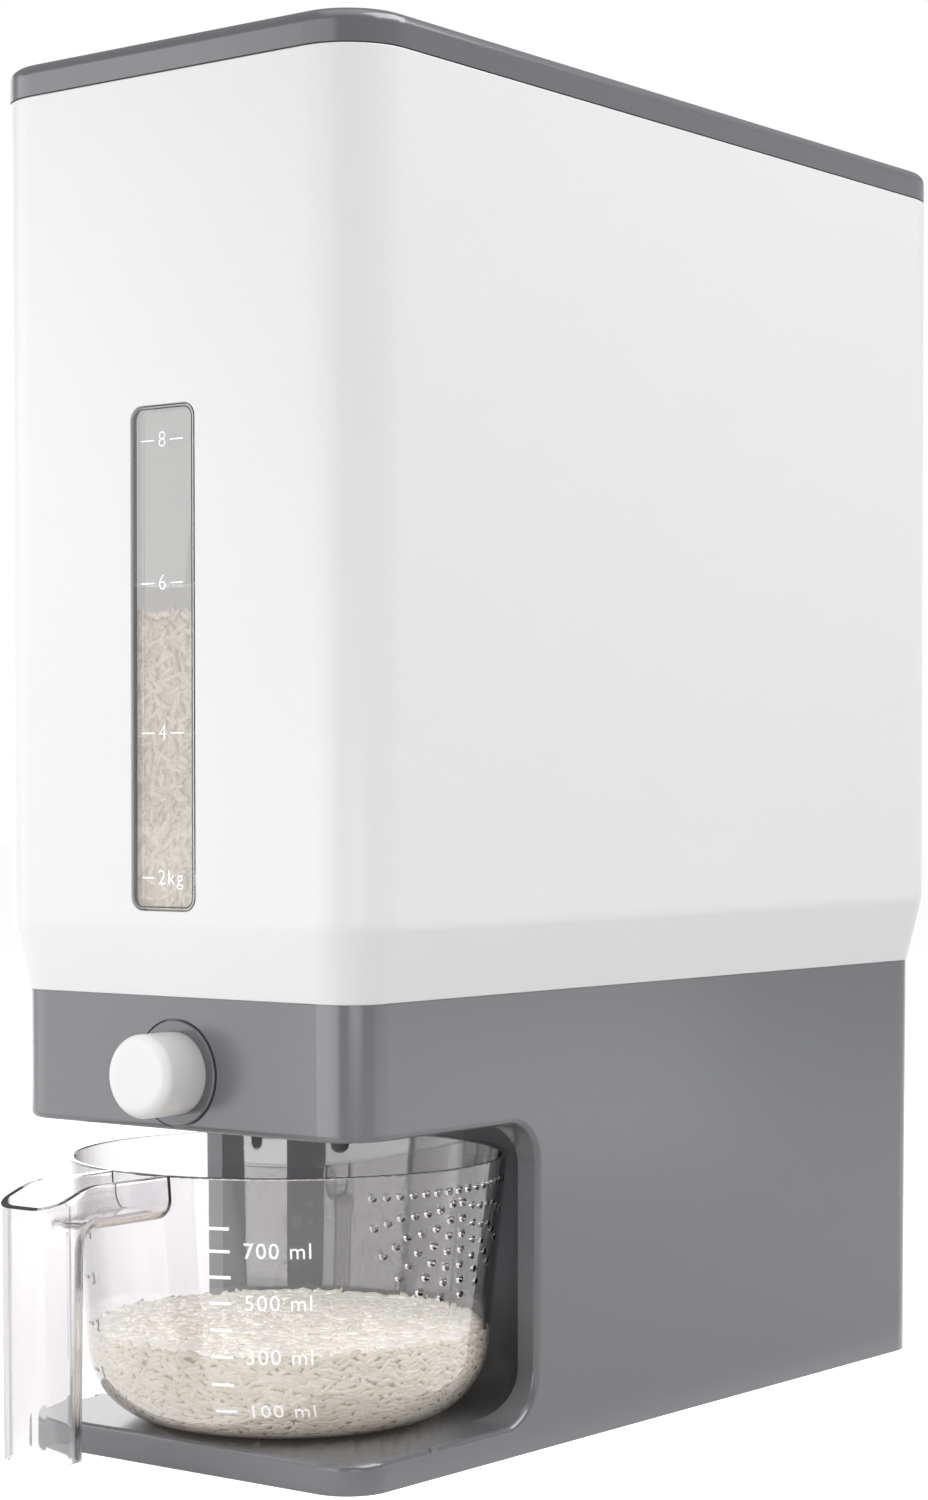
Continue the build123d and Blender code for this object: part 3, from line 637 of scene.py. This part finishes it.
def is_front(face, depth):
    """Whether a face is the wide one of the hopper's front wall, a depth behind its outer face."""
    face_y = face.calc_center_median().y
    at_depth = face_y < 0 and abs(face_y + half_depth - depth) < front_face_slack
    return at_depth and abs(face.normal.y) > front_face_slant and face.calc_area() > front_face_area


def cut_window(bm):
    """Opens the front wall: both skins get the outline and a wall joins them."""
    holes = []
    for depth in (0, hopper_wall):
        wide = [face for face in bm.faces if is_front(face, depth)]
        index = wide[0].material_index
        border = list(wide[0].edges)
        bmesh.ops.delete(bm, geom=wide, context="FACES_ONLY")
        hole = window_ring(bm, window_half, window_bottom, window_top, window_corner, depth)
        filled = bmesh.ops.triangle_fill(bm, edges=border + hole, use_beauty=True)
        for face in filled["geom"]:
            if isinstance(face, bmesh.types.BMFace):
                face.material_index = index
        holes.append(hole)
    bmesh.ops.bridge_loops(bm, edges=holes[0] + holes[1])
    bmesh.ops.recalc_face_normals(bm, faces=bm.faces)
    round_off(bm, holes[0], window_edge, round_steps)


def build_pane():
    """Thick clear pane that fills the window, with a polished bevel all round; its sides and a thin ring of
    the bevel next to its face are painted dark, as painted shade for the dark lines along the window's
    edges.
    """
    bm = bmesh.new()
    inset = pane_gap
    outline = (window_half - inset, window_bottom + inset, window_top - inset, window_corner - inset)
    front = window_ring(bm, *outline, pane_recess)
    back = window_ring(bm, *outline, pane_thickness)
    bmesh.ops.bridge_loops(bm, edges=front + back)
    bmesh.ops.holes_fill(bm, edges=front, sides=0)
    bmesh.ops.holes_fill(bm, edges=back, sides=0)
    bmesh.ops.recalc_face_normals(bm, faces=bm.faces)
    round_off(bm, front, pane_edge, round_steps + 1)
    # Painted shade: the sides and the bevel's ring next to the face take the dark material
    edge_shade_low, edge_shade_high = pane_edge_shade_slant
    for face in bm.faces:
        slant = abs(face.normal.y)
        face.material_index = 1 if slant < pane_side_shade_slant or edge_shade_low < slant < edge_shade_high else 0
    make_piece(
        bm, "window_glazing", [pane_clear, pane_painted_edge_shade], "stand", ("window_pane",),
        flat_faces=True,
    )


def merged_copy(node_name):
    """A solid's mesh with its loose triangles joined, and its exact normals kept on the corners."""
    source = nodes[node_name].data
    bm = bmesh.new()
    bm.from_mesh(source)
    exact = bm.loops.layers.float_vector.new("exact_normal")
    for face in bm.faces:
        start = source.polygons[face.index].loop_start
        for step, loop in enumerate(face.loops):
            loop[exact] = source.corner_normals[start + step].vector
    bmesh.ops.remove_doubles(bm, verts=bm.verts, dist=merge_distance)
    return bm


def restore_normals(piece):
    """Shades a merged copy with the normals kept on its corners."""
    exact = piece.data.attributes["exact_normal"]
    normals = [entry.vector.copy() for entry in exact.data]
    piece.data.normals_split_custom_set(normals)
    piece.data.attributes.remove(piece.data.attributes["exact_normal"])


def build_cup():
    """The cup with its handle swung out a little at the foot, so that it hangs straight down."""
    bm = merged_copy("measuring_cup")
    for vert in bm.verts:
        if vert.co.y < handle_start and vert.co.z < handle_top:
            vert.co.y -= handle_swing * (handle_top - vert.co.z) / (handle_top - handle_foot)
    cup = make_piece(bm, "cup_shell", [cup_clear], "cup", ("measuring_cup",))
    restore_normals(cup)


def build_spring():
    """The return spring, a merged copy with its own mesh; on the real dispenser it shortens towards its
    rear seat as the button is pressed.
    """
    spring = make_piece(
        merged_copy("return_spring"), "spring_coil", [drawn_steel], "stand", ("return_spring",)
    )
    restore_normals(spring)
    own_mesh(spring)


build_hopper()
build_pane()
build_cup()
build_spring()


# Marks
def lettering(words, height, align, thinned=0.0, spacing=1.0):
    """Flat raised figures as a mesh about their own middle line."""
    curve = bpy.data.curves.new("figures", "FONT")
    curve.body = words
    curve.size = height / capital_share
    curve.align_x = align
    curve.align_y = "CENTER"
    curve.extrude = figure_relief
    curve.offset = thinned
    curve.space_character = spacing
    curve.resolution_u = figure_steps
    holder = bpy.data.objects.new("figures", curve)
    scene.collection.objects.link(holder)
    depsgraph = bpy.context.evaluated_depsgraph_get()
    mesh = bpy.data.meshes.new_from_object(holder.evaluated_get(depsgraph))
    bpy.data.objects.remove(holder)
    return mesh


def dash(length, height):
    """A flat raised stroke as a mesh, in steps short enough to follow a curved wall."""
    bm = bmesh.new()
    verts = bmesh.ops.create_grid(bm, x_segments=stroke_steps, y_segments=1, size=0.5)["verts"]
    bmesh.ops.scale(bm, vec=(length, height, 1), verts=verts)
    raised = bmesh.ops.extrude_face_region(bm, geom=list(bm.faces))
    lifted = [g for g in raised["geom"] if isinstance(g, bmesh.types.BMVert)]
    bmesh.ops.translate(bm, vec=(0, 0, stroke_relief), verts=lifted)
    bmesh.ops.recalc_face_normals(bm, faces=bm.faces)
    mesh = bpy.data.meshes.new("stroke")
    bm.to_mesh(mesh)
    bm.free()
    return mesh


def cup_wall(level):
    """Radius of the cup's outer wall at a level, with the wall's outward direction (radial, up)."""
    if level >= cup_turn_level:
        radius = cup_radius - (cup_rim - level) * math.tan(cup_draft)
        return radius, math.cos(cup_draft), -math.sin(cup_draft)
    drop = cup_foot_level - level
    reach = math.sqrt(cup_foot_radius**2 - drop**2)
    return cup_foot_centre + reach, reach / cup_foot_radius, -drop / cup_foot_radius


def on_cup(angle, level, along, up, lift):
    """Point of the cup's outer wall, from a mark's own flat place."""
    height = level + up * cup_wall(level)[1]
    radius, outward, upward = cup_wall(height)
    turn = math.radians(angle) + along / radius
    reach = radius + lift * outward
    return Vector((reach * math.cos(turn), cup_y + reach * math.sin(turn), height + lift * upward))


def on_window(across, level, along, up, lift):
    """Point of the pane's front, from a mark's own flat place."""
    height = level + up
    face_y = -(half_depth - front_inset(height)) + pane_recess
    return Vector((across + along, face_y - lift, height))


def add_mark(bm, mesh, surface, across, level):
    """Adds a flat mark, laid on a surface."""
    start = len(bm.verts)
    bm.from_mesh(mesh)
    bm.verts.ensure_lookup_table()
    for vert in bm.verts[start:]:
        vert.co = surface(across, level, *vert.co)


def finish_marks(bm, name, material, body):
    bmesh.ops.recalc_face_normals(bm, faces=bm.faces)
    make_piece(bm, name, [material], body)


def build_window_marks():
    """Printed weights between their strokes, and the lowest one with its unit."""
    bm = bmesh.new()
    stroke = dash(*weight_stroke)
    for figure, level in weights:
        add_mark(bm, lettering(figure, weight_height, "CENTER", weight_thinning), on_window, 0, level)
        for side in (-1, 1):
            add_mark(bm, stroke, on_window, side * weight_stroke_out, level)
    add_mark(bm, dash(*low_stroke), on_window, low_stroke_middle, low_weight_level)
    low_figure = lettering(low_weight, low_weight_height, "LEFT", low_weight_thinning, low_weight_spacing)
    add_mark(bm, low_figure, on_window, low_weight_start, low_weight_level)
    finish_marks(bm, "window_marks", print_white, "stand")


def build_cup_marks():
    """Raised millilitre scale, and a plain second scale beside the handle."""
    bm = bmesh.new()
    stroke = dash(*volume_stroke)
    for _, level in volumes:
        add_mark(bm, stroke, on_cup, volume_stroke_angle, level)
    for words, level in volumes:
        if words:
            figure = lettering(words, volume_height, "LEFT", spacing=volume_spacing)
            add_mark(bm, figure, on_cup, volume_angle, level)
    finish_marks(bm, "cup_marks", print_white, "cup")
    second = bmesh.new()
    short_stroke = dash(*second_stroke)
    for figure, level in second_figures:
        add_mark(second, short_stroke, on_cup, second_stroke_angle, level)
        add_mark(second, lettering(figure, second_height, "LEFT"), on_cup, second_angle, level)
    finish_marks(second, "cup_second_marks", print_grey, "cup")


build_window_marks()
build_cup_marks()


# Rice
def make_grain(around, along):
    """A round grain of unit size with room for its tone; add_grain stretches it along Z."""
    bm = bmesh.new()
    bmesh.ops.create_uvsphere(bm, u_segments=around, v_segments=along, radius=0.5)
    mesh = bpy.data.meshes.new("grain")
    bm.to_mesh(mesh)
    bm.free()
    mesh.attributes.new("tone", "FLOAT", "POINT")
    return mesh


def grain_turn(chance, normal, tilt, lie):
    """Rotation that lays a grain on a surface, at any angle or near the level when a spread is given."""
    if lie is None:
        side = normal.orthogonal().normalized()
        turn = chance.uniform(0, full_turn)
    else:
        side = straight_up.cross(normal).normalized()
        turn = chance.gauss(0, lie)
    side.rotate(Matrix.Rotation(turn, 3, normal))
    long_way = (side + normal * chance.gauss(0, tilt)).normalized()
    flat_way = long_way.cross(normal).normalized()
    up = flat_way.cross(long_way)
    return Matrix((flat_way, up, long_way)).transposed().to_4x4()


def add_grain(bm, grain, chance, place, normal, tilt, lie=None):
    """Adds one grain with its own size, turn and tone."""
    size = Matrix.Diagonal((
        grain_width * chance.uniform(*girth_spread),
        grain_thickness * chance.uniform(*girth_spread),
        grain_length * chance.uniform(*length_spread),
        1,
    ))
    move = Matrix.Translation(place) @ grain_turn(chance, normal, tilt, lie) @ size
    tone = chance.random()
    grain.attributes["tone"].data.foreach_set("value", [tone] * len(grain.vertices))
    grain.transform(move)
    bm.from_mesh(grain)
    grain.transform(move.inverted())


def cup_heap(across, along):
    """Level of the rice in the cup at a place in plan."""
    reach = math.hypot(across, along - cup_y)
    share = min(reach / (cup_radius - cup_heap_edge), 1)
    return cup_rice_level + cup_rice_heap * (0.5 + 0.5 * math.cos(math.pi * share))


def cup_inner(level):
    """Inner radius of the cup at a level, with the inward direction (radial, up)."""
    radius, outward, upward = cup_wall(level)
    return radius - cup_wall_thickness / max(outward, thinnest_slope), -outward, -upward


def build_cup_bed():
    """Solid of rice that fills the gaps between the grains in the cup, darker than the grains as painted
    shade between them.
    """
    bed = bmesh.new()
    rise = cup_rice_level - cup_floor - bed_edge
    profile = [(0, cup_floor + bed_gap)]
    for step in range(bed_steps + 1):
        level = cup_floor + bed_start + rise * (step / bed_steps) ** bed_bunching
        profile.append((cup_inner(level)[0] - bed_gap, level))
    for share in bed_shares:
        reach = cup_radius * share
        profile.append((reach, cup_heap(0, cup_y + reach) - bed_depth))
    verts = [bed.verts.new((reach, cup_y, level)) for reach, level in profile]
    edges = [bed.edges.new(pair) for pair in zip(verts, verts[1:])]
    bmesh.ops.spin(
        bed, geom=verts + edges, cent=(0, cup_y, 0), axis=(0, 0, 1), angle=full_turn,
        steps=bed_sides, use_merge=True, use_duplicate=False,
    )
    bmesh.ops.remove_doubles(bed, verts=bed.verts, dist=bed_merge)
    bmesh.ops.recalc_face_normals(bed, faces=bed.faces)
    make_piece(bed, "cup_rice_bed", [rice_gap_shade], "cup", sharp=bed_smooth)


def build_cup_walls(grain, chance):
    """Rows of grains that lie against the cup's wall."""
    walls = bmesh.new()
    row_level = cup_floor + row_start
    while row_level < cup_rice_level - row_end:
        row_radius, row_inward, _ = cup_inner(row_level)
        count = round(full_turn * row_radius / grain_spacing)
        start = chance.uniform(0, full_turn)
        for index in range(count):
            turn = start + (index + chance.uniform(-row_shift, row_shift)) * full_turn / count
            level = row_level + chance.uniform(-row_scatter, row_scatter) * row_spacing
            radius, inward, upward = cup_inner(max(level, cup_floor + lowest_grain))
            depth = wall_sink + chance.choice(wall_depths)
            reach = radius + depth * inward
            place = Vector((reach * math.cos(turn), cup_y + reach * math.sin(turn), level + depth * upward))
            normal = Vector((inward * math.cos(turn), inward * math.sin(turn), upward))
            add_grain(walls, grain, chance, place, normal, wall_tilt, wall_lie)
        row_level += row_spacing * max(-row_inward, row_slope)
    make_piece(walls, "cup_rice_wall", [rice_wall], "cup", sharp=all_smooth)


def build_cup_top(grain, chance):
    """Grains scattered over the heap in the cup."""
    top = bmesh.new()
    widest = cup_inner(cup_rice_level)[0] - cup_top_inset
    for _ in range(cup_top_grains):
        turn = chance.uniform(0, full_turn)
        reach = widest * math.sqrt(chance.random())
        across, along = reach * math.cos(turn), cup_y + reach * math.sin(turn)
        level = cup_heap(across, along) + chance.uniform(*cup_top_scatter) * mm
        add_grain(top, grain, chance, Vector((across, along, level)), straight_up, cup_top_tilt)
    make_piece(top, "cup_rice_top", [rice_top], "cup", sharp=all_smooth)


def build_cup_rice():
    """Rice in the cup: a bed, grains against the wall and grains on top."""
    chance = random.Random(cup_seed)
    grain = make_grain(*fine_grain)
    build_cup_bed()
    build_cup_walls(grain, chance)
    build_cup_top(grain, chance)


def hopper_rice_top(across, along):
    """Level of the rice in the hopper: gently uneven."""
    wave = top_wave * math.sin(across * top_wave_across + top_wave_shift)
    return hopper_rice_level + wave * math.cos(along * top_wave_along)


def build_hopper_bed():
    """Solid of rice that fills the hopper under the grains."""
    bed = bmesh.new()
    inset = hopper_bed_inset
    rings = [
        rounded_ring(
            bed, half_width - inset, half_depth - inset, hopper_corner - inset, level, hopper_bed_steps
        )
        for level in (shoulder_level, hopper_rice_level - hopper_bed_depth)
    ]
    bmesh.ops.bridge_loops(bed, edges=rings[0] + rings[1])
    for ring in rings:
        bmesh.ops.holes_fill(bed, edges=ring, sides=0)
    bmesh.ops.recalc_face_normals(bed, faces=bed.faces)
    make_piece(bed, "hopper_rice_bed", [rice_shaded], "stand")


def build_hopper_front(grain, chance):
    """Grains behind the window."""
    front = bmesh.new()
    widest = window_half + front_beside
    for _ in range(front_grains):
        level = chance.uniform(window_bottom - front_below, hopper_rice_level + front_above)
        across = chance.uniform(-widest, widest)
        depth = pane_thickness + grain_thickness / 2 + front_gap * chance.choice(front_depths)
        place = Vector((across, -(half_depth - front_inset(level)) + depth, level))
        add_grain(front, grain, chance, place, Vector((0, -1, 0)), front_tilt)
    make_piece(front, "hopper_rice_front", [rice_shaded], "stand", sharp=all_smooth)


def build_hopper_top(grain, chance):
    """Grains scattered over the rice in the hopper."""
    top = bmesh.new()
    corner_reach = hopper_corner - hopper_wall - top_corner_gap
    for _ in range(top_tries):
        across = chance.uniform(-1, 1) * (half_width - hopper_wall - top_side_gap)
        along = chance.uniform(-1, 1) * (half_depth - pane_thickness - top_end_gap)
        out_x = abs(across) - (half_width - hopper_corner)
        out_y = abs(along) - (half_depth - hopper_corner)
        if out_x > 0 and out_y > 0 and math.hypot(out_x, out_y) > corner_reach:
            continue
        level = hopper_rice_top(across, along) + chance.uniform(*top_scatter) * mm
        add_grain(top, grain, chance, Vector((across, along, level)), straight_up, top_tilt)
    make_piece(top, "hopper_rice_top", [rice_shaded], "stand", sharp=all_smooth)


def build_hopper_rice():
    """Rice in the hopper: a bed, grains behind the window and grains on top."""
    chance = random.Random(hopper_seed)
    build_hopper_bed()
    build_hopper_front(make_grain(*fine_grain), chance)
    build_hopper_top(make_grain(*coarse_grain), chance)


build_cup_rice()
build_hopper_rice()


# Studio
def softbox(name, azimuth, level, distance, width, height, radiance, pivot_y):
    """Soft lamp that faces the dispenser; azimuth 0 is the front and 90 its right side."""
    lamp = bpy.data.lights.new(name, "AREA")
    lamp.shape = "RECTANGLE"
    lamp.size = width
    lamp.size_y = height
    lamp.energy = radiance * math.pi * width * height
    holder = bpy.data.objects.new(name, lamp)
    scene.collection.objects.link(holder)
    turn = math.radians(azimuth)
    target = Vector((0, pivot_y, rim_level / 2))
    holder.location = Vector((math.sin(turn) * distance, pivot_y - math.cos(turn) * distance, level))
    holder.rotation_euler = (target - holder.location).to_track_quat("-Z", "Y").to_euler()
    holder.visible_camera = False


def toward(tree, way, axis):
    """How far a direction points along an axis: 1 straight along it, -1 away from it."""
    unit = add_node(tree, "ShaderNodeVectorMath", {0: way}, "NORMALIZE")
    share = add_node(tree, "ShaderNodeVectorMath", {0: unit.outputs[0], 1: axis}, "DOT_PRODUCT")
    return share.outputs["Value"]


def build_world():
    """White backdrop; reflections meet it behind the dispenser and a dimmer room behind the camera."""
    world = bpy.data.worlds.new("studio")
    scene.world = world
    world.use_nodes = True
    tree = world.node_tree
    path = tree.nodes.new("ShaderNodeLightPath").outputs
    way = tree.nodes.new("ShaderNodeTexCoord").outputs["Generated"]
    split = add_node(tree, "ShaderNodeSeparateXYZ", {0: way})
    ceiling = mapped(tree, split.outputs["Z"], ceiling_edge, 1, ceiling_level)
    room = mapped(tree, toward(tree, way, backdrop_way), room_edge, room_level, 1)
    sides = mapped(tree, toward(tree, way, cup_backdrop_way), backdrop_edge, side_level, 1)
    lit_room = combined(tree, "MULTIPLY", room, ceiling)
    reflected = combined(tree, "MULTIPLY", path["Is Glossy Ray"], lit_room)
    refracted = combined(tree, "MULTIPLY", path["Is Transmission Ray"], sides)
    indirect = combined(tree, "MAXIMUM", reflected, refracted)
    shown = combined(tree, "MAXIMUM", indirect, path["Is Camera Ray"])
    strength = combined(tree, "MAXIMUM", shown, ambient_level)
    feed(tree, tree.nodes["Background"], {"Color": white, "Strength": strength})


def build_floor():
    """Pale paper floor, white to the eye, that keeps a soft shadow; in reflections it has painted shade
    towards the right, and seen through clear plastic it has painted shade except straight behind the cup.
    """
    bm = bmesh.new()
    bmesh.ops.create_grid(bm, x_segments=1, y_segments=1, size=floor_half)
    mesh = bpy.data.meshes.new("floor")
    bm.to_mesh(mesh)
    bm.free()
    floor = bpy.data.objects.new("floor", mesh)
    scene.collection.objects.link(floor)
    paper, tree, shader = new_material("floor_paper")
    path = tree.nodes.new("ShaderNodeLightPath").outputs
    place = object_place(tree)
    # Painted shade: seen through clear plastic the floor is dark except in a narrow band straight behind
    # the cup
    from_cup = add_node(tree, "ShaderNodeVectorMath", {0: place, 1: (0, cup_low.y, 0)}, "SUBTRACT")
    beyond = toward(tree, from_cup.outputs[0], cup_floor_way)
    sides = mapped(tree, beyond, backdrop_edge, side_level, 1)
    refracted = combined(tree, "MULTIPLY", path["Is Transmission Ray"], sides)
    # Painted shade: in reflections the floor dims towards the right
    split = add_node(tree, "ShaderNodeSeparateXYZ", {0: place})
    right_shade = mapped(tree, split.outputs["X"], floor_right_shade_edge, 1, floor_right_shade_level)
    reflected = combined(tree, "MULTIPLY", path["Is Glossy Ray"], right_shade)
    seen = combined(tree, "MAXIMUM", path["Is Camera Ray"], reflected)
    shown = combined(tree, "MAXIMUM", seen, refracted)
    straight = combined(tree, "SUBTRACT", 1, path["Is Transmission Ray"])
    paper_share = combined(tree, "MAXIMUM", straight, refracted)
    feed(tree, shader, {
        "Base Color": mapped(tree, paper_share, (0, 1), 0, paper_tone),
        "Roughness": 1,
        "Specular IOR Level": 0,
        "Emission Color": white,
        "Emission Strength": mapped(tree, shown, (0, 1), 0, floor_glow),
    })
    mesh.materials.append(paper)


def place_camera():
    lens = bpy.data.cameras.new("view")
    lens.lens = camera_lens
    lens.sensor_width = camera_sensor
    lens.clip_start = camera_near
    camera = bpy.data.objects.new("view", lens)
    scene.collection.objects.link(camera)
    camera.location = camera_place
    camera.rotation_euler = Vector(camera_way).to_track_quat("-Z", "Y").to_euler()
    scene.camera = camera


build_world()
build_floor()
for lamp_values in lamps:
    softbox(*lamp_values)
place_camera()
scene.view_settings.view_transform = "Standard"
